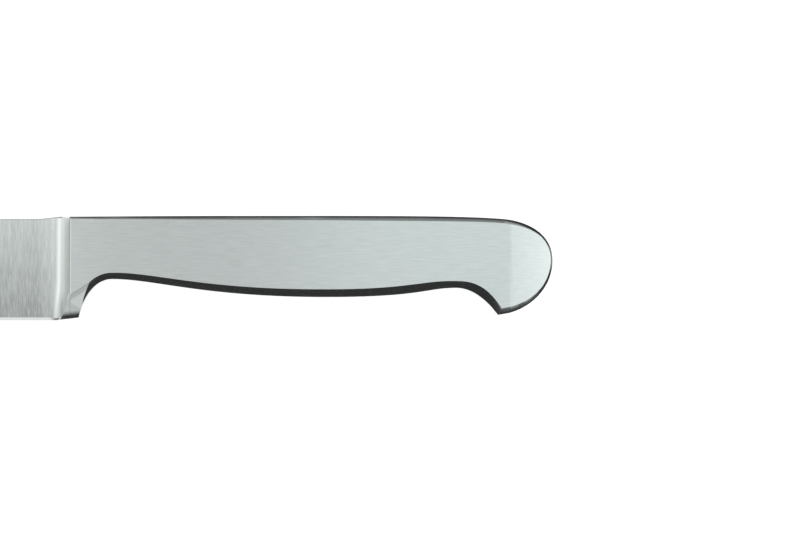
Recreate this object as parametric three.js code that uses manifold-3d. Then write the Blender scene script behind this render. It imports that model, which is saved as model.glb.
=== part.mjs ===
// Fillet knife, steel all over: a forged blade with bolster and full tang, and a handle of two solid
// steel scales pinned and bonded to the tang.
// Modelled with the seam behind the bolster at x = 0, the butt towards +x and the tip towards -x, the
// spine line at y = 0 with the cutting edge below it, and the mid-plane of the blade at z = 0.
// The finished knife is then laid on its right side.
import * as THREE from "three";
import { mergeVertices } from "three/addons/utils/BufferGeometryUtils.js";
import Module from "manifold-3d";

const wasm = await Module();
wasm.setup();

// Thickness of the handle, from the tang outwards
const TANG_THICKNESS = 2.8;
const FILM_THICKNESS = 0.2;
const SCALE_THICKNESS = 3.3;

// Blade, in front of the bolster
const BLADE_LENGTH = 210;
const EDGE_DEPTH = 26.05;
const BLADE_STEP = 0.74;
const TIP_DROP = 8.5;
const TIP_HEIGHT = 0.6;
const SPINE_CURVE = 2.2;
const EDGE_CURVE = 2.4;
const SPINE_THICKNESS_HEEL = 2.1;
const SPINE_THICKNESS_TIP = 0.8;
const EDGE_SHOULDER = 0.5;
const EDGE_LAND = 0.08;
const EDGE_BEVEL = 0.5;
const SPINE_EASE = 0.25;
const SPINE_EASE_SLOPE = 22;
const GRIND_CROWN = 0.12;

// Bolster: the cove that swells from the blade to the full thickness of the handle, and the flares that
// bring its crest and its front forward towards the heel, over a range of depths below the spine line
const COVE_LENGTH = 5.05;
const COVE_TILT = 70;
const CREST_FLARE = 0.8;
const FRONT_FLARE = 1;
const FLARE_FROM = 18.5;
const FLARE_TO = 23.5;
const FOOT_FRONT = 3.8;
const TANG_ROOT = 1;
const STEP_FROM = 8.5;
const STEP_TO = 2;

// Handle in side view: places along it from the seam or from the butt end, depths below the spine line
const HANDLE_LENGTH = 120.5;
const SEAM_SPINE_DEPTH = 0.18;
const CREST_AT = 44;
const SHOULDER_FROM_BUTT = 12;
const SHOULDER_DEPTH = 0.8;
const BUTT_DEPTH = 11.1;
const HOOK_FROM_BUTT = 13.6;
const HOOK_DEPTH = 24.7;
const WAIST_FROM_BUTT = 24;
const WAIST_DEPTH = 17.95;
const BELLY_AT = 64;
const BELLY_DEPTH = 20.25;
const CHOIL_AT = 10.5;
const CHOIL_DEPTH = 15.75;
const GUARD_LENGTH = 2.1;
const TOE_DEPTH = 25.4;

// Bevels around the side face of the handle: widths in side view, and slopes from the face. They are
// crowned, so the inner part of the width takes a smaller share of the drop.
const BEVEL_SLOPE = 41;
const SPINE_SLOPE = 35.5;
const BUTT_SLOPE = 37;
const HOOK_SLOPE = 32;
const CROWN_WIDTH = 0.6;
const CROWN_DROP = 0.566;
const SPINE_BEVEL_FRONT = 0.35;
const SPINE_BEVEL = 1;
const SPINE_BEVEL_BULGE = 0.18;
const SHOULDER_BEVEL = 1.06;
const BUTT_BEVEL = 1.7;
const BUTT_BEVEL_LOW = 1.42;
const HOOK_BEVEL = 1.75;
const HOOK_BEVEL_BULGE = 0.45;
const WAIST_BEVEL = 1.72;
const WAIST_BEVEL_BULGE = 0.25;
const BELLY_BEVEL = 1.95;
const CHOIL_BEVEL = 1.58;
const FRONT_EASE = 0.3;
const FRONT_TILT = 28;
const FOOT_EASE = 0.1;

// Facet at the butt, the cheek hollowed into the guard, and the round along the guard's foot
const BUTT_FACET = 10.9;
const BUTT_TILT = 3.5;
const BUTT_RADIUS = 220;
const CHEEK_DEPTH = 19.6;
const CHEEK_HEADING = 32;
const CHEEK_TILT_HIGH = 29.5;
const CHEEK_TILT_LOW = 17;
const CHEEK_HOLLOW = 1.7;
const CHEEK_REACH = 7;
const FOOT_RADIUS = 8.5;
const FOOT_RADIUS_HIGH = 19;
const FOOT_TILT_LOW = 45;
const FOOT_TILT_MIDDLE = 28;
const FOOT_TILT_HIGH = 18;
const FOOT_LIP = 0.12;

// Pins, their blind seats in the scales, and the fits
const PIN_DIAMETER = 4;
const PIN_SEAT = 2;
const PIN_FRONT_AT = 16;
const PIN_REAR_FROM_BUTT = 20;
const PIN_DEPTH = 9;
const PIN_CLEARANCE = 0.1;
const PIN_END_CLEARANCE = 0.1;
const FILM_SETBACK = 0.3;
const SEAM_GAP = 0.05;

const ROUND_STEPS = 32;
const GRIND_STEPS = 8;
const tangFace = TANG_THICKNESS / 2;
const scaleFace = tangFace + FILM_THICKNESS;
const sideFace = scaleFace + SCALE_THICKNESS;
const heelX = -COVE_LENGTH;
const tipX = heelX - BLADE_LENGTH;
const radians = THREE.MathUtils.degToRad;
const mix = THREE.MathUtils.lerp;
const slopeOf = (degrees) => Math.tan(radians(degrees));
const crestHalf = sideFace - FRONT_EASE * slopeOf(FRONT_TILT);

const steel = new THREE.MeshStandardMaterial({ color: 0xb9bfbe, roughness: 0.32, metalness: 1 });
const bladeSteel = new THREE.MeshStandardMaterial({ color: 0xb2b7b5, roughness: 0.28, metalness: 1 });
const pinSteel = new THREE.MeshStandardMaterial({ color: 0x9a9d9f, roughness: 0.4, metalness: 1 });
const bond = new THREE.MeshStandardMaterial({ color: 0x3b3c3d, roughness: 0.7, metalness: 0 });

function solid(geometry) {
  const bare = geometry.clone();
  bare.deleteAttribute("normal");
  bare.deleteAttribute("uv");
  const welded = mergeVertices(bare, 1e-5);
  const vertProperties = Float32Array.from(welded.attributes.position.array);
  const triVerts = Uint32Array.from(welded.index.array);
  return new wasm.Manifold(new wasm.Mesh({ numProp: 3, vertProperties, triVerts }));
}

function surface(body) {
  const { vertProperties, triVerts } = body.getMesh();
  const geometry = new THREE.BufferGeometry();
  geometry.setAttribute("position", new THREE.BufferAttribute(vertProperties, 3));
  geometry.setIndex(new THREE.BufferAttribute(triVerts, 1));
  geometry.computeVertexNormals();
  return geometry;
}

// Plate with the given side view, from z = from to z = to
function plate(points, from, to, holes = []) {
  const shape = new THREE.Shape(points);
  shape.holes.push(...holes);
  const options = { depth: to - from, bevelEnabled: false, curveSegments: ROUND_STEPS / 2 };
  return new THREE.ExtrudeGeometry(shape, options).translate(0, 0, from);
}

// The same plate on the other side of the blade, its faces turned out again
function acrossBlade(geometry) {
  const other = geometry.clone().scale(1, 1, -1);
  const places = other.attributes.position;
  const a = new THREE.Vector3();
  const b = new THREE.Vector3();
  for (let i = 0; i < places.count; i += 3) {
    a.fromBufferAttribute(places, i);
    b.fromBufferAttribute(places, i + 1);
    places.setXYZ(i, b.x, b.y, b.z);
    places.setXYZ(i + 1, a.x, a.y, a.z);
  }
  return other;
}

// Closed skin over rings of equal point counts; flat gives a ring point's place in the plane of its cap
function loft(rings, flat) {
  const count = rings[0].length;
  const index = [];
  for (let start = 0; start < count * (rings.length - 1); start += count) {
    for (let i = 0; i < count; i += 1) {
      const a = start + i;
      const b = start + ((i + 1) % count);
      index.push(a, b, a + count, b, b + count, a + count);
    }
  }
  const clockwise = THREE.ShapeUtils.isClockWise(rings[0].map(flat));
  const capped = (ring, outwards, offset) => {
    for (const corners of THREE.ShapeUtils.triangulateShape(ring.map(flat), [])) {
      const ordered = outwards ? corners : corners.reverse();
      index.push(...ordered.map((i) => i + offset));
    }
  };
  capped(rings[0], clockwise, 0);
  capped(rings.at(-1), !clockwise, count * (rings.length - 1));
  const geometry = new THREE.BufferGeometry().setFromPoints(rings.flat());
  return geometry.setIndex(index);
}

// Curve that leaves point a on one heading and meets point b on another, with its reach at each end
function sweep(a, headingA, reachA, reachB, headingB, b) {
  const centre = new THREE.Vector2();
  const out = new THREE.Vector2(reachA, 0).rotateAround(centre, radians(headingA));
  const back = new THREE.Vector2(-reachB, 0).rotateAround(centre, radians(headingB));
  return new THREE.CubicBezierCurve(a, a.clone().add(out), b.clone().add(back), b);
}

// Foot of the guard: a straight line from the toe forward to the depth of the cutting edge
const footHeading = Math.atan2(EDGE_DEPTH - TOE_DEPTH, GUARD_LENGTH + FOOT_FRONT);
function footY(x) {
  return -TOE_DEPTH - (GUARD_LENGTH - x) * Math.tan(footHeading);
}

// Outline of the handle, clockwise from the top of the seam. Each stretch has its bevel's width and slope
// at both ends, and the bulge of that width between them.
function handleStretches(seamX) {
  const at = (x, depth) => new THREE.Vector2(x, -depth);
  const seamTop = at(seamX, SEAM_SPINE_DEPTH);
  const crest = at(CREST_AT, 0);
  const shoulder = at(HANDLE_LENGTH - SHOULDER_FROM_BUTT, SHOULDER_DEPTH);
  const butt = at(HANDLE_LENGTH, BUTT_DEPTH);
  const hook = at(HANDLE_LENGTH - HOOK_FROM_BUTT, HOOK_DEPTH);
  const waist = at(HANDLE_LENGTH - WAIST_FROM_BUTT, WAIST_DEPTH);
  const belly = at(BELLY_AT, BELLY_DEPTH);
  const choil = at(CHOIL_AT, CHOIL_DEPTH);
  const toe = at(GUARD_LENGTH, TOE_DEPTH);
  const seamFoot = new THREE.Vector2(seamX, footY(seamX));
  const edges = {
    seam: [SPINE_BEVEL_FRONT, SPINE_SLOPE],
    crest: [SPINE_BEVEL, SPINE_SLOPE],
    shoulder: [SHOULDER_BEVEL, SPINE_SLOPE],
    butt: [BUTT_BEVEL, BUTT_SLOPE],
    buttLow: [BUTT_BEVEL_LOW, BUTT_SLOPE],
    hook: [HOOK_BEVEL, HOOK_SLOPE],
    waist: [WAIST_BEVEL, BEVEL_SLOPE],
    belly: [BELLY_BEVEL, BEVEL_SLOPE],
    choil: [CHOIL_BEVEL, BEVEL_SLOPE],
    foot: [FOOT_EASE, BEVEL_SLOPE],
  };
  const run = (curve, steps, from, to, bulge = 0) => {
    return { curve, steps, from: edges[from], to: edges[to], bulge };
  };
  return [
    run(sweep(seamTop, 0.3, 17.5, 22, 0, crest), 8, "seam", "crest"),
    run(sweep(crest, 0, 32, 10.4, -5.2, shoulder), 16, "crest", "shoulder", SPINE_BEVEL_BULGE),
    run(sweep(shoulder, -5.2, 4.6, 7.4, -90, butt), 22, "shoulder", "butt"),
    run(sweep(butt, -90, 7.2, 7.5, -175, hook), 24, "butt", "buttLow"),
    run(sweep(hook, 126.9, 4.8, 3.9, 180, waist), 18, "hook", "waist", HOOK_BEVEL_BULGE),
    run(sweep(waist, 180, 7.6, 24, 180, belly), 20, "waist", "belly", WAIST_BEVEL_BULGE),
    run(sweep(belly, 180, 31, 10.8, 180, choil), 26, "belly", "choil"),
    run(sweep(choil, 180, 3.75, 6.25, -102.7, toe), 22, "choil", "choil"),
    run(new THREE.LineCurve(toe, seamFoot), 1, "foot", "foot"),
    run(new THREE.LineCurve(seamFoot, seamTop), 1, "foot", "foot"),
  ];
}

// Points of the outline, each with the width of the bevel that ends at it and of the one that starts
// there, and with the drop of the deeper one.
// Bevels of two widths meet in a mitre, and next to one the outline runs straight.
function handleOutline(seamX) {
  const stretches = handleStretches(seamX);
  const corners = stretches.flatMap(({ curve, steps, from, to, bulge }, number) => {
    const [endWidth, endSlope] = stretches.at(number - 1).to;
    const endDrop = endWidth * slopeOf(endSlope);
    return Array.from({ length: steps }, (_, i) => {
      const share = i / steps;
      const point = curve.getPoint(share);
      const after = mix(from[0], to[0], share) + bulge * (4 * share * (1 - share)) ** 2;
      const drop = after * slopeOf(mix(from[1], to[1], share));
      if (i === 0) {
        return { point, before: endWidth, after, drop: Math.max(drop, endDrop), knot: true };
      }
      return { point, before: after, after, drop, knot: false };
    });
  });
  const mitres = corners.filter(({ before, after }) => before !== after);
  return corners.filter(({ point, knot }) => {
    const clear = (mitre) => {
      return mitre.point.distanceTo(point) > 1.3 * Math.max(mitre.before, mitre.after);
    };
    return knot || mitres.every(clear);
  });
}

// Outline moved inwards by one width before each point and another after it
function inset(outline, widths) {
  return outline.map((corner, i) => {
    const { point } = corner;
    const arriving = point.clone().sub(outline.at(i - 1).point).normalize();
    const leaving = outline[(i + 1) % outline.length].point.clone().sub(point).normalize();
    const inA = new THREE.Vector2(arriving.y, -arriving.x);
    const inB = new THREE.Vector2(leaving.y, -leaving.x);
    const [a, b] = widths(corner);
    const turn = inA.cross(inB);
    if (Math.abs(turn) < 0.1) {
      return point.clone().addScaledVector(inA.add(inB).normalize(), (a + b) / 2);
    }
    const shift = new THREE.Vector2(a * inB.y - b * inA.y, b * inA.x - a * inB.x);
    return point.clone().addScaledVector(shift, 1 / turn);
  });
}

// Pins in a row below the spine, the middle one halfway between the other two
const pinRearAt = HANDLE_LENGTH - PIN_REAR_FROM_BUTT;
const pinsAt = { front: PIN_FRONT_AT, middle: (PIN_FRONT_AT + pinRearAt) / 2, rear: pinRearAt };
const boreRadius = PIN_DIAMETER / 2 + PIN_CLEARANCE;

function pinBody(radius, from, to) {
  const body = new THREE.CylinderGeometry(radius, radius, to - from, ROUND_STEPS);
  return body.rotateX(Math.PI / 2).translate(0, 0, (from + to) / 2);
}

function withPinBores(body, from, to) {
  return Object.values(pinsAt).reduce((rest, x) => {
    return rest.subtract(solid(pinBody(boreRadius, from, to).translate(x, -PIN_DEPTH, 0)));
  }, body);
}

// What is ground off the guard's cheek: all above a slope that starts at a slanting line and flattens
function cheekCutter() {
  const high = slopeOf(CHEEK_TILT_HIGH);
  const low = slopeOf(CHEEK_TILT_LOW);
  const profile = [new THREE.Vector2(-1, sideFace + high)];
  for (let i = 0; i <= 6; i += 1) {
    const d = (CHEEK_HOLLOW * i) / 6;
    profile.push(new THREE.Vector2(d, sideFace - d * high + (d * d * (high - low)) / (2 * CHEEK_HOLLOW)));
  }
  const lowest = profile.at(-1);
  profile.push(new THREE.Vector2(CHEEK_REACH, lowest.y - (CHEEK_REACH - lowest.x) * low));
  profile.push(new THREE.Vector2(CHEEK_REACH, sideFace + high));
  const heading = radians(CHEEK_HEADING);
  const down = new THREE.Vector3(Math.sin(heading), -Math.cos(heading), 0);
  const out = new THREE.Vector3(0, 0, 1);
  const turned = new THREE.Matrix4().makeBasis(down, out, down.clone().cross(out));
  turned.setPosition(0, -CHEEK_DEPTH, 0);
  return plate(profile, -CHEEK_REACH, CHEEK_REACH).applyMatrix4(turned);
}

// What is taken off along the guard's foot: all outside a tight arc that a wide one carries on upwards
function footCutter() {
  const profile = [new THREE.Vector2(0, scaleFace + FOOT_LIP)];
  const arc = (radius, from, to) => {
    const start = profile.at(-1);
    for (let i = 1; i <= 8; i += 1) {
      const tilt = radians(mix(from, to, i / 8));
      const up = radius * (Math.sin(radians(from)) - Math.sin(tilt));
      const out = radius * (Math.cos(tilt) - Math.cos(radians(from)));
      profile.push(new THREE.Vector2(start.x + up, start.y + out));
    }
  };
  arc(FOOT_RADIUS, FOOT_TILT_LOW, FOOT_TILT_MIDDLE);
  arc(FOOT_RADIUS_HIGH, FOOT_TILT_MIDDLE, FOOT_TILT_HIGH);
  const lowest = profile[0];
  const highest = profile.at(-1);
  const top = sideFace + 1;
  profile.push(new THREE.Vector2(highest.x + (top - highest.y) / slopeOf(FOOT_TILT_HIGH), top));
  profile.push(new THREE.Vector2(-1, top), new THREE.Vector2(-1, lowest.y - slopeOf(FOOT_TILT_LOW)));
  const up = new THREE.Vector3(-Math.sin(footHeading), Math.cos(footHeading), 0);
  const outwards = new THREE.Vector3(0, 0, 1);
  const turned = new THREE.Matrix4().makeBasis(up, outwards, up.clone().cross(outwards));
  turned.setPosition(GUARD_LENGTH, -TOE_DEPTH, 0);
  return plate(profile, -GUARD_LENGTH - COVE_LENGTH, GUARD_LENGTH).applyMatrix4(turned);
}

const guardCutters = [cheekCutter(), footCutter()];

function withGuardShaped(body, cutters) {
  return cutters.reduce((rest, cutter) => rest.subtract(solid(cutter)), body);
}

// Scale in plan view: eased at the seam, flat along the grip, falling away in a facet towards the butt
function planProfile() {
  const profile = [
    new THREE.Vector2(SEAM_GAP, 0),
    new THREE.Vector2(HANDLE_LENGTH + 1, 0),
  ];
  for (let i = 10; i >= 0; i -= 1) {
    const d = ((BUTT_FACET + 1) * i) / 10;
    const drop = d * slopeOf(BUTT_TILT) + (d * d) / (2 * BUTT_RADIUS);
    profile.push(new THREE.Vector2(HANDLE_LENGTH - BUTT_FACET + d, sideFace - drop));
  }
  profile.push(new THREE.Vector2(SEAM_GAP + FRONT_EASE, sideFace));
  profile.push(new THREE.Vector2(SEAM_GAP, crestHalf));
  return profile;
}

// Left scale: a bevelled plate trimmed to its plan view, the guard shaped, the blind bores sunk
function handleScale() {
  const outline = handleOutline(SEAM_GAP);
  const ring = (width, drop) => {
    const points = inset(outline, ({ before, after }) => [width * before, width * after]);
    return points.map(({ x, y }, i) => new THREE.Vector3(x, y, sideFace - drop * outline[i].drop));
  };
  const rings = [
    ring(1, 0),
    ring(1 - CROWN_WIDTH, CROWN_DROP),
    ring(0, 1),
    outline.map(({ point }) => new THREE.Vector3(point.x, point.y, scaleFace)),
  ];
  const bevelled = solid(loft(rings, ({ x, y }) => new THREE.Vector2(x, y)));
  const plan = plate(planProfile(), -1, HOOK_DEPTH + TOE_DEPTH).rotateX(Math.PI / 2);
  const shaped = withGuardShaped(bevelled.intersect(solid(plan)), guardCutters);
  return surface(withPinBores(shaped, tangFace, scaleFace + PIN_SEAT));
}

// Bedding film: the tang's outline set back a little, with a hole for each pin
function bondFilm() {
  const points = inset(handleOutline(SEAM_GAP), () => [FILM_SETBACK, FILM_SETBACK]);
  const holes = Object.values(pinsAt).map((x) => {
    return new THREE.Path().absarc(x, -PIN_DEPTH, boreRadius, 0, 2 * Math.PI);
  });
  return plate(points, tangFace, scaleFace, holes);
}

// Share of the bolster's thickness that the cove has reached at a place in side view
function coveSwell(x, y) {
  const flared = THREE.MathUtils.smoothstep(-y, FLARE_FROM, FLARE_TO);
  const front = heelX - FRONT_FLARE * flared;
  const crest = -CREST_FLARE * flared;
  const steepest = radians(COVE_TILT);
  const along = THREE.MathUtils.clamp((x - front) / (crest - front), 0, 1);
  const tilt = Math.asin(along * Math.sin(steepest));
  return (1 - Math.cos(tilt)) / (1 - Math.cos(steepest));
}

// Cross-section of the blade at x: a wedge from spine to edge that the cove swells to a full block
function bladeSection(x) {
  const along = THREE.MathUtils.clamp((heelX - x) / BLADE_LENGTH, 0, 1);
  const step = THREE.MathUtils.smoothstep(x, -STEP_FROM, -STEP_TO);
  const straightSpine = mix(BLADE_STEP, SEAM_SPINE_DEPTH, step);
  const top = -straightSpine - TIP_DROP * along ** SPINE_CURVE;
  const edgeRise = EDGE_DEPTH - BLADE_STEP - TIP_DROP - TIP_HEIGHT;
  const bottom = x > -FOOT_FRONT ? footY(x) : -EDGE_DEPTH + edgeRise * along ** EDGE_CURVE;
  const swelled = (y, halfThickness) => [y, mix(halfThickness, crestHalf, coveSwell(x, y))];
  const spineHalf = mix(SPINE_THICKNESS_HEEL, SPINE_THICKNESS_TIP, along) / 2;
  const swell = coveSwell(x, top);
  const ease = mix(SPINE_EASE, SPINE_BEVEL_FRONT, swell);
  const easeDrop = ease * slopeOf(mix(SPINE_EASE_SLOPE, SPINE_SLOPE, swell));
  const bevel = Math.min(EDGE_BEVEL, (top - bottom) / 2);
  const ground = Array.from({ length: GRIND_STEPS + 1 }, (_, i) => {
    const down = i / GRIND_STEPS;
    const crown = 4 * GRIND_CROWN * down * (1 - down) * (1 - along);
    const half = mix(spineHalf, EDGE_SHOULDER / 2, down) + crown;
    return swelled(mix(top - ease, bottom + bevel, down), half);
  });
  const [, spineOut] = swelled(top, spineHalf);
  const side = [[top, spineOut - easeDrop], ...ground, swelled(bottom, EDGE_LAND / 2)];
  const left = side.map(([y, z]) => new THREE.Vector3(x, y, z));
  const right = side.map(([y, z]) => new THREE.Vector3(x, y, -z)).reverse();
  return [...left, ...right];
}

// Places of the blade's sections: along the blade, over the step in the spine, and up the cove
function bladeStations() {
  const stations = [];
  for (let i = 0; i < 32; i += 1) {
    stations.push(mix(tipX, -STEP_FROM, i / 32));
  }
  for (let i = 0; i < 6; i += 1) {
    stations.push(mix(-STEP_FROM, heelX, i / 6));
  }
  for (let i = 0; i <= 18; i += 1) {
    const tilt = radians(COVE_TILT) * (i / 18);
    stations.push(heelX + (COVE_LENGTH * Math.sin(tilt)) / Math.sin(radians(COVE_TILT)));
  }
  return stations;
}

// Forging: blade and bolster in one run of sections, joined by the tang's root to the full tang
function forging() {
  const sections = bladeStations().map(bladeSection);
  const bladeAndBolster = solid(loft(sections, ({ y, z }) => new THREE.Vector2(y, z)));
  const shaped = withGuardShaped(bladeAndBolster, [...guardCutters, ...guardCutters.map(acrossBlade)]);
  const tangPoints = handleOutline(0).map(({ point }) => point);
  tangPoints.push(new THREE.Vector2(-TANG_ROOT, footY(0) + TANG_ROOT));
  tangPoints.push(new THREE.Vector2(-TANG_ROOT, -SEAM_SPINE_DEPTH - TANG_ROOT));
  const tang = solid(plate(tangPoints, -tangFace, tangFace));
  return surface(withPinBores(shaped.add(tang), -sideFace, sideFace));
}

function piece(name, geometry, material) {
  const mesh = new THREE.Mesh(geometry, material);
  mesh.name = name;
  return mesh;
}

const knife = new THREE.Group();
knife.name = "fillet_knife";
knife.add(piece("blade", forging(), bladeSteel));

const scaleGeometry = handleScale();
const filmGeometry = bondFilm();
for (const [side, direction] of [["left", 1], ["right", -1]]) {
  const half = new THREE.Group();
  half.add(piece(`handle_scale_${side}`, scaleGeometry, steel));
  half.add(piece(`bond_film_${side}`, filmGeometry, bond));
  half.scale.z = direction;
  knife.add(half);
}

const pinReach = scaleFace + PIN_SEAT - PIN_END_CLEARANCE;
const pinGeometry = pinBody(PIN_DIAMETER / 2, -pinReach, pinReach);
for (const [name, x] of Object.entries(pinsAt)) {
  const pin = piece(`tang_pin_${name}`, pinGeometry, pinSteel);
  pin.position.set(x, -PIN_DEPTH, 0);
  knife.add(pin);
}

// Laid on its right side, centred over the origin
knife.position.set(-(tipX + HANDLE_LENGTH) / 2, EDGE_DEPTH / 2, sideFace);
const laid = new THREE.Group();
laid.add(knife);

export default laid;
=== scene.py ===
"""All-steel fillet knife lying on its right side, seen from straight above on a white floor."""
import math

import bmesh
import bpy
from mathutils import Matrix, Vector


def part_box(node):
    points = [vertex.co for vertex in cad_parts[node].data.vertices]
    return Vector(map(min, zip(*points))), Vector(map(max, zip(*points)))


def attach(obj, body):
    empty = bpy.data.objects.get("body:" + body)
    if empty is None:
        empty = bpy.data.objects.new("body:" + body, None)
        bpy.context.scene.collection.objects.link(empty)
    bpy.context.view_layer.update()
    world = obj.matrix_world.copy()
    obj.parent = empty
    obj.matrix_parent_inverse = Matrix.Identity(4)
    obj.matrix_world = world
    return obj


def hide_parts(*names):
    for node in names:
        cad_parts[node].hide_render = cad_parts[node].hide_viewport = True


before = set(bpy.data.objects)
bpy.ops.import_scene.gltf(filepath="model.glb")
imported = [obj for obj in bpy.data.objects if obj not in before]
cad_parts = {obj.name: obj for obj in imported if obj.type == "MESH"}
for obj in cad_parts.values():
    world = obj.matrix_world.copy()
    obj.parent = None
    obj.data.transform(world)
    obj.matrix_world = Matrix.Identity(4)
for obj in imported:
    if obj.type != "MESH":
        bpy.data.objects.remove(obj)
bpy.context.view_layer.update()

# Places in the row frame, in metres
SEAM_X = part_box("handle_scale_left")[0].x
SPINE_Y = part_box("handle_scale_left")[1].y
MID_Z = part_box("handle_scale_left")[1].z / 2
EDGE_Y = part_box("blade")[0].y
TIP_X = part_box("blade")[0].x
COVE_LENGTH = 0.0051
COVE_X = SEAM_X - COVE_LENGTH
HONED_X = COVE_X + 0.0024

# Reach of the guard's cheek behind the seam and up from the edge, of its foot and of the eased seam, and how
# close to the seam the tang starts
GUARD_REACH = 0.006
FOOT_REACH = 0.004
SEAM_REACH = 0.0005
SEAM_TOUCH = 0.00002

# Refinements of the CAD shapes, in metres: the width of eased edges, the honed bevel's upper line moved up
# the blade, and the spine's bevel widened by a share near the seam
EASED = 0.00012
HONED_RISE = 0.0002
HONED_LINE = 0.0002
HONED_RISE_END_X = COVE_X + 0.0014
HONED_FADE_COVE = 0.0015
HONED_FADE_TIP = 0.1
FRONT_REACH = 0.035
FRONT_GROWTH = 0.5
SPINE_BEVEL_WIDTH = 0.001
SPINE_BEVEL_DEPTH = 0.0006

# How level a face lies, as the size of its normal's z part: walls are below STEEP, the recess's bevel is
# below RECESS, the guard's cheek above CHEEK, all bevels below SHALLOW, the tilted side of an eased edge
# below TILTED, and flat sides above LEVEL
STEEP = 0.2
RECESS = 0.8
CHEEK = 0.86
SHALLOW = 0.885
TILTED = 0.9
LEVEL = 0.985

# Angles between faces past which an edge stays crisp, in degrees
SCALE_CRISP = 20
RECESS_CRISP = 8
FORGING_CRISP = 9

# Map units per metre, for the direction of the brushing lines
MAP_SCALE = 20

# Photograph: 800 pixels across 200 mm, with the seam and the spine line at these pixels
PICTURE = (800, 533)
PIXEL = 0.00025
SEAM_PIXEL = 70.5
SPINE_PIXEL = 216.0


class Nodes:
    """Small helper that adds and links shader nodes."""

    def __init__(self, tree):
        self.tree = tree
        self.tree.nodes.clear()

    def add(self, kind, **settings):
        node = self.tree.nodes.new(kind)
        for key, value in settings.items():
            setattr(node, key, value)
        return node

    def feed(self, socket, value):
        """Links an output, or sets a plain number."""
        if isinstance(value, (int, float)):
            socket.default_value = value
        else:
            self.tree.links.new(value, socket)

    def math(self, operation, *values):
        """One operation on two values, or on more from left to right."""
        result = values[0]
        for value in values[1:]:
            node = self.add("ShaderNodeMath", operation=operation)
            self.feed(node.inputs[0], result)
            self.feed(node.inputs[1], value)
            result = node.outputs[0]
        return result

    def total(self, *values):
        return self.math("ADD", *values)

    def product(self, *values):
        return self.math("MULTIPLY", *values)

    def ramp(self, value, start, end, low=0.0, high=1.0, shape="LINEAR"):
        """Rise of a value from low at start to high at end."""
        node = self.add("ShaderNodeMapRange", interpolation_type=shape)
        for socket, number in zip(node.inputs, (value, start, end, low, high)):
            self.feed(socket, number)
        return node.outputs[0]

    def fade(self, value, start, end, low=0.0, high=1.0):
        """The same with soft ends."""
        return self.ramp(value, start, end, low, high, "SMOOTHSTEP")

    def axes(self, vector):
        """The three parts of a vector."""
        node = self.add("ShaderNodeSeparateXYZ")
        self.feed(node.inputs[0], vector)
        return node.outputs["X"], node.outputs["Y"], node.outputs["Z"]

    def tint(self, factor, low, high):
        """Colour between low and high, as the factor goes from 0 to 1."""
        node = self.add("ShaderNodeValToRGB")
        for element, colour in zip(node.color_ramp.elements, (low, high)):
            element.color = (*colour, 1)
        self.feed(node.inputs[0], factor)
        return node.outputs[0]

    def streaks(self, place, per_metre, detail=4.0):
        """Noise drawn out into lines: how often it repeats per metre along each axis."""
        mapping = self.add("ShaderNodeMapping")
        mapping.inputs["Scale"].default_value = per_metre
        self.feed(mapping.inputs["Vector"], place)
        noise = self.add("ShaderNodeTexNoise")
        noise.inputs["Scale"].default_value = 1.0
        noise.inputs["Detail"].default_value = detail
        noise.inputs["Roughness"].default_value = 0.6
        self.feed(noise.inputs["Vector"], mapping.outputs[0])
        return noise.outputs["Fac"]


def new_material(name):
    """Material with a bare Principled shader: gives the material, its nodes, the shader and object places."""
    material = bpy.data.materials.new(name)
    material.use_nodes = True
    nodes = Nodes(material.node_tree)
    output = nodes.add("ShaderNodeOutputMaterial")
    shader = nodes.add("ShaderNodeBsdfPrincipled")
    nodes.feed(output.inputs["Surface"], shader.outputs[0])
    place = nodes.add("ShaderNodeTexCoord").outputs["Object"]
    return material, nodes, shader, place


def shaded(colour, spread):
    """The colour made darker and lighter by the same share."""
    return [tuple(min(1.0, channel * share) for channel in colour) for share in (1 - spread, 1 + spread)]


def brush(nodes, shader, lines, relief):
    """Anisotropic gloss across the brushing lines, and their relief."""
    tangent = nodes.add("ShaderNodeTangent", direction_type="UV_MAP", uv_map="across_lines")
    nodes.feed(shader.inputs["Tangent"], tangent.outputs[0])
    bump = nodes.add("ShaderNodeBump")
    bump.inputs["Strength"].default_value = relief
    bump.inputs["Distance"].default_value = 0.00002
    nodes.feed(bump.inputs["Height"], lines)
    nodes.feed(shader.inputs["Normal"], bump.outputs[0])


def satin_steel(name, colour, spread, roughness, lines, anisotropy, relief):
    """Steel brushed in one direction: lines is how often the brushing repeats per metre along each axis."""
    material, nodes, shader, place = new_material(name)
    shader.inputs["Metallic"].default_value = 1.0
    shader.inputs["Anisotropic"].default_value = anisotropy
    fine = nodes.streaks(place, lines)
    broad = nodes.streaks(place, tuple(value * 0.5 for value in lines), 2.0)
    mixed = nodes.total(nodes.product(fine, 0.8), nodes.product(broad, 0.2))
    low, high = shaded(colour, spread)
    nodes.feed(shader.inputs["Base Color"], nodes.tint(nodes.fade(mixed, 0.35, 0.65), low, high))
    nodes.feed(shader.inputs["Roughness"], nodes.fade(mixed, 0.2, 0.8, roughness - 0.04, roughness + 0.04))
    brush(nodes, shader, mixed, relief)
    return material


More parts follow.
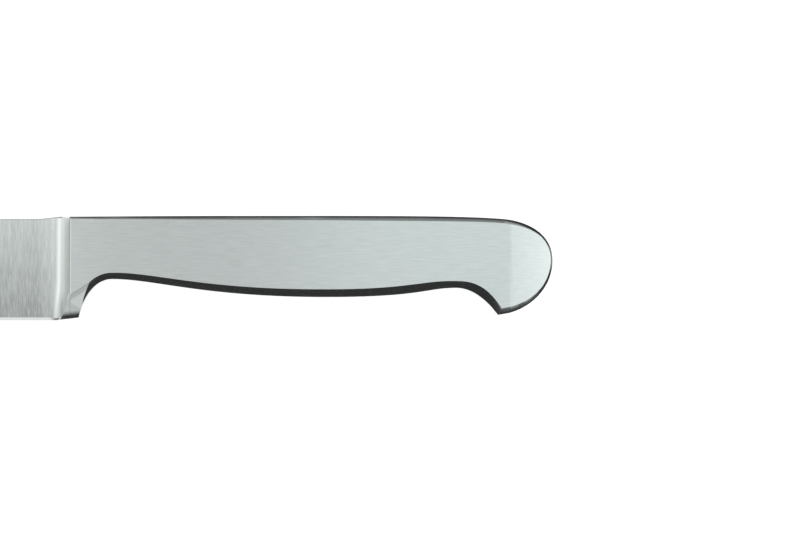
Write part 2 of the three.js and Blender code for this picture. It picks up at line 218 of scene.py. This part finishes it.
def ground_steel(name, colour, spread, relief):
    """Blade steel ground from spine to edge, rougher near the edge and smoother in the cove; its colour holds
    painted shade that darkens it from spine to edge, and painted highlights that make the cove lighter and
    the crest lighter still.
    """
    material, nodes, shader, place = new_material(name)
    shader.inputs["Metallic"].default_value = 1.0
    shader.inputs["Anisotropic"].default_value = 0.6
    lengthwise, crosswise, _ = nodes.axes(place)
    # Masks from blade to cove: in the cove the colour is painted lighter as a highlight, and the lines and
    # roughness change
    near_cove = nodes.fade(lengthwise, COVE_X - 0.0035, COVE_X - 0.0005, 0.0, 0.25)
    in_cove = nodes.fade(lengthwise, COVE_X + 0.0002, COVE_X + 0.0023, 0.0, 0.75)
    on_blade = nodes.math("SUBTRACT", 1.0, nodes.total(near_cove, in_cove))
    near_crest = nodes.fade(lengthwise, COVE_X + 0.0026, COVE_X + 0.0038)
    near_edge = nodes.ramp(crosswise, SPINE_Y, EDGE_Y)
    fine = nodes.streaks(place, (7000, 300, 7000), 3.0)
    broad = nodes.streaks(place, (4200, 150, 4200), 2.0)
    mixed = nodes.total(nodes.product(fine, 0.5), nodes.product(broad, 0.5))
    coarse = nodes.product(on_blade, nodes.ramp(near_edge, 0.0, 1.0, 0.8, 1.3))
    lines = nodes.product(nodes.math("SUBTRACT", mixed, 0.5), coarse)
    # Painted shade: the blade's colour darkens from spine to edge and stays darker than the cove
    painted_shade_to_edge = nodes.product(on_blade, nodes.ramp(near_edge, 0.0, 1.0, 0.343, 0.629))
    plain_shade, plain_roughness = 0.673, 0.2
    # Painted highlight: the colour grows lighter still towards the crest
    painted_crest_highlight = nodes.product(near_crest, 0.38)
    shade = nodes.math("SUBTRACT", nodes.total(lines, painted_crest_highlight, plain_shade), painted_shade_to_edge)
    low, high = shaded(colour, spread)
    nodes.feed(shader.inputs["Base Color"], nodes.tint(shade, low, high))
    rougher = nodes.product(on_blade, nodes.ramp(near_edge, 0.0, 1.0, 0.08, 0.16))
    matt_crest = nodes.product(near_crest, 0.18)
    rough = nodes.total(rougher, nodes.product(lines, 0.12), matt_crest, plain_roughness)
    nodes.feed(shader.inputs["Roughness"], rough)
    brush(nodes, shader, lines, relief)
    return material


def dark_film(name):
    """Dull dark bedding film with a faint grain."""
    material, nodes, shader, place = new_material(name)
    shader.inputs["Roughness"].default_value = 0.65
    grain = nodes.streaks(place, (2500, 2500, 2500))
    low, high = shaded((0.035, 0.036, 0.038), 0.3)
    nodes.feed(shader.inputs["Base Color"], nodes.tint(nodes.fade(grain, 0.3, 0.7), low, high))
    return material


# Finishes; the blade's and the honed edge's colours also hold painted shade and highlights
FACE = satin_steel(
    "handle_brushed", (0.485, 0.518, 0.51), spread=0.055, roughness=0.36,
    lines=(220, 4500, 4500), anisotropy=0.6, relief=0.08)
WALL = satin_steel(
    "handle_edge_brushed", (0.555, 0.58, 0.572), spread=0.05, roughness=0.28,
    lines=(220, 4500, 4500), anisotropy=0.5, relief=0.1)
BEVEL = satin_steel(
    "bevel_polished", (0.54, 0.57, 0.565), spread=0.04, roughness=0.09,
    lines=(300, 4000, 4000), anisotropy=0.0, relief=0.02)
GUARD = satin_steel(
    "guard_polished", (0.54, 0.575, 0.57), spread=0.03, roughness=0.11,
    lines=(300, 4000, 4000), anisotropy=0.0, relief=0.02)
# Its colour holds painted shade towards the edge and painted highlights in the cove and at the crest
GROUND = ground_steel("blade_ground", (0.514, 0.547, 0.531), spread=0.4987, relief=0.07)
# Honed edge bevel: satin steel whose colour, lighter than the rest, is a painted highlight along the edge
EDGE = satin_steel(
    "edge_honed_painted_highlight", (0.74, 0.76, 0.75), spread=0.04, roughness=0.28,
    lines=(500, 9000, 9000), anisotropy=0.0, relief=0.05)
CREST = satin_steel(
    "seam_satin", (0.48, 0.51, 0.505), spread=0.04, roughness=0.24,
    lines=(4000, 300, 4000), anisotropy=0.0, relief=0.05)
PIN = satin_steel(
    "pin_turned", (0.5, 0.51, 0.52), spread=0.06, roughness=0.35,
    lines=(3000, 3000, 400), anisotropy=0.0, relief=0.1)
FILM = dark_film("bond_dark")


def face_angle(edge):
    return math.degrees(edge.calc_face_angle(0.0))


def leans_of(element):
    """How level each of the faces around an edge or a vertex lies, the steepest first."""
    return sorted(abs(face.normal.z) for face in element.link_faces)


def borders_flat(edge):
    """Edge between a face that lies level and one that is clearly tilted."""
    leans = leans_of(edge)
    return len(leans) == 2 and leans[0] < TILTED and leans[1] > LEVEL


def smooth_copy(node, name, refine, ease, crisp, finishes, finish_of, map_axes_of):
    """New piece from a CAD node: flat faces made whole, the mesh refined, the edges around flat faces eased,
    other edges kept crisp where the test says so, and a finish picked face by face."""
    weld_distance, flat_angle = 2e-7, math.radians(0.04)
    mesh = bpy.data.meshes.new(name)
    bm = bmesh.new()
    bm.from_mesh(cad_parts[node].data)
    bmesh.ops.remove_doubles(bm, verts=bm.verts, dist=weld_distance)
    bmesh.ops.dissolve_limit(bm, angle_limit=flat_angle, verts=bm.verts, edges=bm.edges)
    refine(bm)
    if ease:
        around = [edge for edge in bm.edges if borders_flat(edge)]
        bmesh.ops.bevel(
            bm, geom=around, offset=ease, segments=3, profile=0.5, affect="EDGES", clamp_overlap=True)
    for edge in bm.edges:
        edge.smooth = not crisp(edge)
    across = bm.loops.layers.uv.new("across_lines")
    for face in bm.faces:
        face.smooth = True
        face.material_index = finishes.index(finish_of(face))
        map_axes = map_axes_of(face)
        for loop in face.loops:
            loop[across].uv = [getattr(loop.vert.co, axis) * MAP_SCALE for axis in map_axes]
    bm.to_mesh(mesh)
    bm.free()
    for finish in finishes:
        mesh.materials.append(finish)
    piece = bpy.data.objects.new(name, mesh)
    bpy.context.scene.collection.objects.link(piece)
    weighted = piece.modifiers.new("even_normals", "WEIGHTED_NORMAL")
    weighted.mode = "FACE_AREA"
    weighted.weight = 80
    weighted.keep_sharp = True
    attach(piece, "root")
    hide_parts(node)
    return piece


def lines_lengthwise(face):
    """Map axes, across the lines and along them, where the lines run along the knife."""
    if abs(face.normal.z) > 0.5:
        return "yx"
    return "zx" if abs(face.normal.y) > abs(face.normal.x) else "zy"


def lines_crosswise(face):
    """The same where the lines run from spine to edge."""
    if abs(face.normal.y) > 0.7:
        return "xz"
    return "zy" if abs(face.normal.x) > 0.8 else "xy"


def forging_lines(face):
    """Lengthwise lines on the tang, crosswise ones on blade and bolster."""
    on_tang = face.calc_center_median().x > SEAM_X
    return lines_lengthwise(face) if on_tang else lines_crosswise(face)


def scale_finish(face):
    """Brushed side or wall, polished bevel, polished cheek and foot of the guard, or satin at the seam."""
    lean = abs(face.normal.z)
    centre = face.calc_center_median()
    if lean < STEEP:
        return WALL
    if face.normal.x < -0.3 and centre.x < SEAM_X + SEAM_REACH:
        return CREST
    on_foot = abs(face.normal.x) < 0.2 and centre.y < EDGE_Y + FOOT_REACH
    if centre.x < SEAM_X + GUARD_REACH and lean < LEVEL and (lean > SHALLOW or on_foot):
        return GUARD
    return FACE if lean > SHALLOW else BEVEL


def scale_crisp(edge):
    """Clear corners of a scale, and the line between the guard's cheek and the bevel of the finger recess."""
    leans = leans_of(edge)
    at_guard = max(vert.co.x for vert in edge.verts) < SEAM_X + GUARD_REACH
    at_recess = at_guard and min(face.normal.x for face in edge.link_faces) > 0.1
    ends_cheek = at_recess and leans[0] < RECESS and CHEEK < leans[-1] < LEVEL
    return face_angle(edge) > (RECESS_CRISP if ends_cheek else SCALE_CRISP)


def forging_finish(face):
    """Ground blade and cove, brushed tang, honed edge bevel, or the polished cheek and foot of the guard."""
    centre = face.calc_center_median()
    if centre.x > SEAM_X - SEAM_TOUCH:
        return WALL
    if centre.x < HONED_X and face.normal.y < -0.2:
        return EDGE
    if centre.x > HONED_X and centre.y < EDGE_Y + GUARD_REACH and face.normal.x > -0.3:
        return GUARD
    return GROUND


def forging_crisp(edge):
    return face_angle(edge) > FORGING_CRISP


def widen_honing(bm):
    """Moves the upper line of the honed bevel up the blade, less so near its ends."""
    upper = set()
    for face in bm.faces:
        if forging_finish(face) == EDGE and abs(face.normal.z) > 0.5:
            top = max(vert.co.y for vert in face.verts)
            upper.update(vert for vert in face.verts if vert.co.y > top - HONED_LINE)
    for vert in upper:
        from_tip = (vert.co.x - TIP_X) / HONED_FADE_TIP
        from_cove = (HONED_RISE_END_X - vert.co.x) / HONED_FADE_COVE
        vert.co.y += HONED_RISE * max(0.0, min(1.0, from_tip, from_cove))
    bm.normal_update()


def widen_front_bevel(bm):
    """Makes the bevel of the spine wider towards the seam, about the corner that it cuts off."""
    near = []
    for vert in bm.verts:
        depth = MID_Z - abs(vert.co.z - MID_Z)
        at_spine = vert.co.x < SEAM_X + FRONT_REACH and vert.co.y > SPINE_Y - SPINE_BEVEL_WIDTH
        if at_spine and depth < SPINE_BEVEL_DEPTH:
            near.append((vert, depth))
    corner = [vert.co.copy() for vert, depth in near if leans_of(vert)[0] < STEEP]
    for vert, depth in near:
        corner_y = min(corner, key=lambda place: abs(place.x - vert.co.x)).y
        growth = FRONT_GROWTH * (1 - (vert.co.x - SEAM_X) / FRONT_REACH)
        vert.co.y += growth * (vert.co.y - corner_y)
        vert.co.z -= math.copysign(growth * depth, vert.co.z - MID_Z)
    bm.normal_update()


# Pieces of the knife
for side in ("left", "right"):
    scale = smooth_copy(
        f"handle_scale_{side}", f"scale_{side}",
        refine=widen_front_bevel, ease=EASED, crisp=scale_crisp,
        finishes=[FACE, WALL, BEVEL, GUARD, CREST], finish_of=scale_finish, map_axes_of=lines_lengthwise)

forging = smooth_copy(
    "blade", "forging",
    refine=widen_honing, ease=0.0, crisp=forging_crisp,
    finishes=[GROUND, WALL, EDGE, GUARD], finish_of=forging_finish, map_axes_of=forging_lines)

for name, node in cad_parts.items():
    for start, finish in (("tang_pin", PIN), ("bond_film", FILM)):
        if name.startswith(start):
            node.data.materials.clear()
            node.data.materials.append(finish)


def make_floor():
    """Wide floor that looks white to the camera and in the steel, and still takes a soft shadow."""
    reach = 40.0
    below = -0.0001
    mesh = bpy.data.meshes.new("floor")
    corners = [(-reach, -reach, below), (reach, -reach, below), (reach, reach, below), (-reach, reach, below)]
    mesh.from_pydata(corners, [], [(0, 1, 2, 3)])
    floor = bpy.data.objects.new("floor", mesh)
    bpy.context.scene.collection.objects.link(floor)
    material, nodes, shader, place = new_material("white_floor")
    low, high = (0.47, 0.47, 0.47), (0.49, 0.49, 0.49)
    grain = nodes.streaks(place, (40, 40, 40))
    nodes.feed(shader.inputs["Base Color"], nodes.tint(grain, low, high))
    shader.inputs["Roughness"].default_value = 0.9
    shader.inputs["Specular IOR Level"].default_value = 0.0
    shader.inputs["Emission Color"].default_value = (1, 1, 1, 1)
    path = nodes.add("ShaderNodeLightPath")
    rays = [path.outputs[f"Is {kind} Ray"] for kind in ("Camera", "Glossy", "Transmission")]
    seen = nodes.math("MINIMUM", nodes.total(*rays), 1.0)
    nodes.feed(shader.inputs["Emission Strength"], nodes.product(seen, 0.72))
    floor.data.materials.append(material)


def towards(azimuth, elevation):
    """Unit direction: azimuth counts from +X towards +Y, both in degrees."""
    turn, rise = math.radians(azimuth), math.radians(elevation)
    return Vector((math.cos(rise) * math.cos(turn), math.cos(rise) * math.sin(turn), math.sin(rise)))


def make_world():
    """Light tent: a dome that darkens to the horizon, a lit wall at the blade's end, glows over, under and
    behind the butt, a darker horizon behind the spine, and dimmer stretches on the edge's side."""
    world = bpy.data.worlds.new("tent")
    bpy.context.scene.world = world
    world.use_nodes = True
    nodes = Nodes(world.node_tree)
    output = nodes.add("ShaderNodeOutputWorld")
    background = nodes.add("ShaderNodeBackground")
    nodes.feed(output.inputs["Surface"], background.outputs[0])
    direction = nodes.add("ShaderNodeTexCoord").outputs["Generated"]
    lengthwise, sideways, height = nodes.axes(direction)

    def patch(azimuth, elevation, inner, outer, level):
        """Soft round patch: full level within the inner angle, nothing past the outer one."""
        near = nodes.add("ShaderNodeVectorMath", operation="DOT_PRODUCT")
        nodes.feed(near.inputs[0], direction)
        near.inputs[1].default_value = towards(azimuth, elevation)
        inner, outer = math.cos(math.radians(inner)), math.cos(math.radians(outer))
        return nodes.fade(near.outputs["Value"], outer, inner, 0.0, level)

    dome = nodes.fade(height, 0.18, 0.65, 0.045, 1.0)
    blade_wall = nodes.product(
        patch(180, 8, 10, 48, 0.86),
        nodes.fade(sideways, -0.35, -0.1),
        nodes.fade(sideways, 0.85, 0.35))
    over_butt = nodes.product(
        nodes.fade(lengthwise, 0.14, 0.34, 0.0, 1.6),
        nodes.fade(height, 0.6, 0.85),
        nodes.fade(sideways, -0.4, -0.2))
    under_butt = nodes.product(
        nodes.fade(height, 0.16, 0.3, 0.0, 0.14),
        nodes.fade(sideways, -0.15, -0.35),
        nodes.fade(lengthwise, 0.4, 0.6))
    behind_butt = patch(0, 14, 4, 22, 0.35)
    behind_spine = nodes.product(
        nodes.fade(sideways, 0.7, 0.85),
        nodes.fade(height, 0.27, 0.38, -0.14, 0.08))
    lights = nodes.total(dome, blade_wall, over_butt, under_butt, behind_butt, behind_spine)

    high_stripe = nodes.product(
        nodes.fade(sideways, -0.02, -0.22, 0.0, -0.4),
        nodes.fade(sideways, -0.45, -0.28))
    low_stripe = nodes.product(
        nodes.fade(sideways, -0.5, -0.62, 0.0, -0.15),
        nodes.fade(sideways, -0.86, -0.74),
        nodes.fade(lengthwise, 0.35, 0.2))
    dark_corner = nodes.product(
        nodes.fade(sideways, -0.3, -0.45, 0.0, -0.6),
        nodes.fade(height, 0.5, 0.43),
        nodes.fade(lengthwise, -0.1, -0.25),
        nodes.fade(lengthwise, -0.82, -0.72))
    facing_cheek = patch(302, 38, 6, 16, -0.26)
    darkest = 0.049
    level = nodes.total(lights, high_stripe, low_stripe, dark_corner, facing_cheek)
    nodes.feed(background.inputs["Color"], nodes.math("MAXIMUM", level, darkest))
    background.inputs["Strength"].default_value = 1.0


def softbox(name, place, size, radiance, colour):
    """Panel that shines straight down: its size along x and y, and how bright it looks."""
    light = bpy.data.lights.new(name, "AREA")
    light.shape = "RECTANGLE"
    light.size, light.size_y = size
    light.energy = radiance * math.pi * size[0] * size[1]
    light.color = colour
    lamp = bpy.data.objects.new(name, light)
    lamp.location = place
    lamp.visible_camera = False
    bpy.context.scene.collection.objects.link(lamp)


def make_camera():
    """Camera straight above, with its frame placed by the seam and the spine."""
    centre_x = SEAM_X + (PICTURE[0] / 2 - SEAM_PIXEL) * PIXEL
    centre_y = SPINE_Y + (SPINE_PIXEL - PICTURE[1] / 2) * PIXEL
    distance = 2.5
    data = bpy.data.cameras.new("camera")
    data.sensor_fit = "HORIZONTAL"
    data.sensor_width = 36.0
    data.lens = data.sensor_width * distance / (PICTURE[0] * PIXEL)
    data.clip_end = 200
    camera = bpy.data.objects.new("camera", data)
    camera.location = (centre_x, centre_y, MID_Z + distance)
    bpy.context.scene.collection.objects.link(camera)
    bpy.context.scene.camera = camera


# Stage, light and camera
make_floor()
make_world()
softbox("right_panel", (0.198, 0.045, 0.155), (0.184, 0.161), radiance=0.418, colour=(0.84, 1.0, 1.04))
softbox("left_panel", (0.003, 0.0, 0.155), (0.058, 0.2), radiance=0.53, colour=(1.0, 1.0, 1.0))
make_camera()
bpy.context.scene.view_settings.view_transform = "Standard"
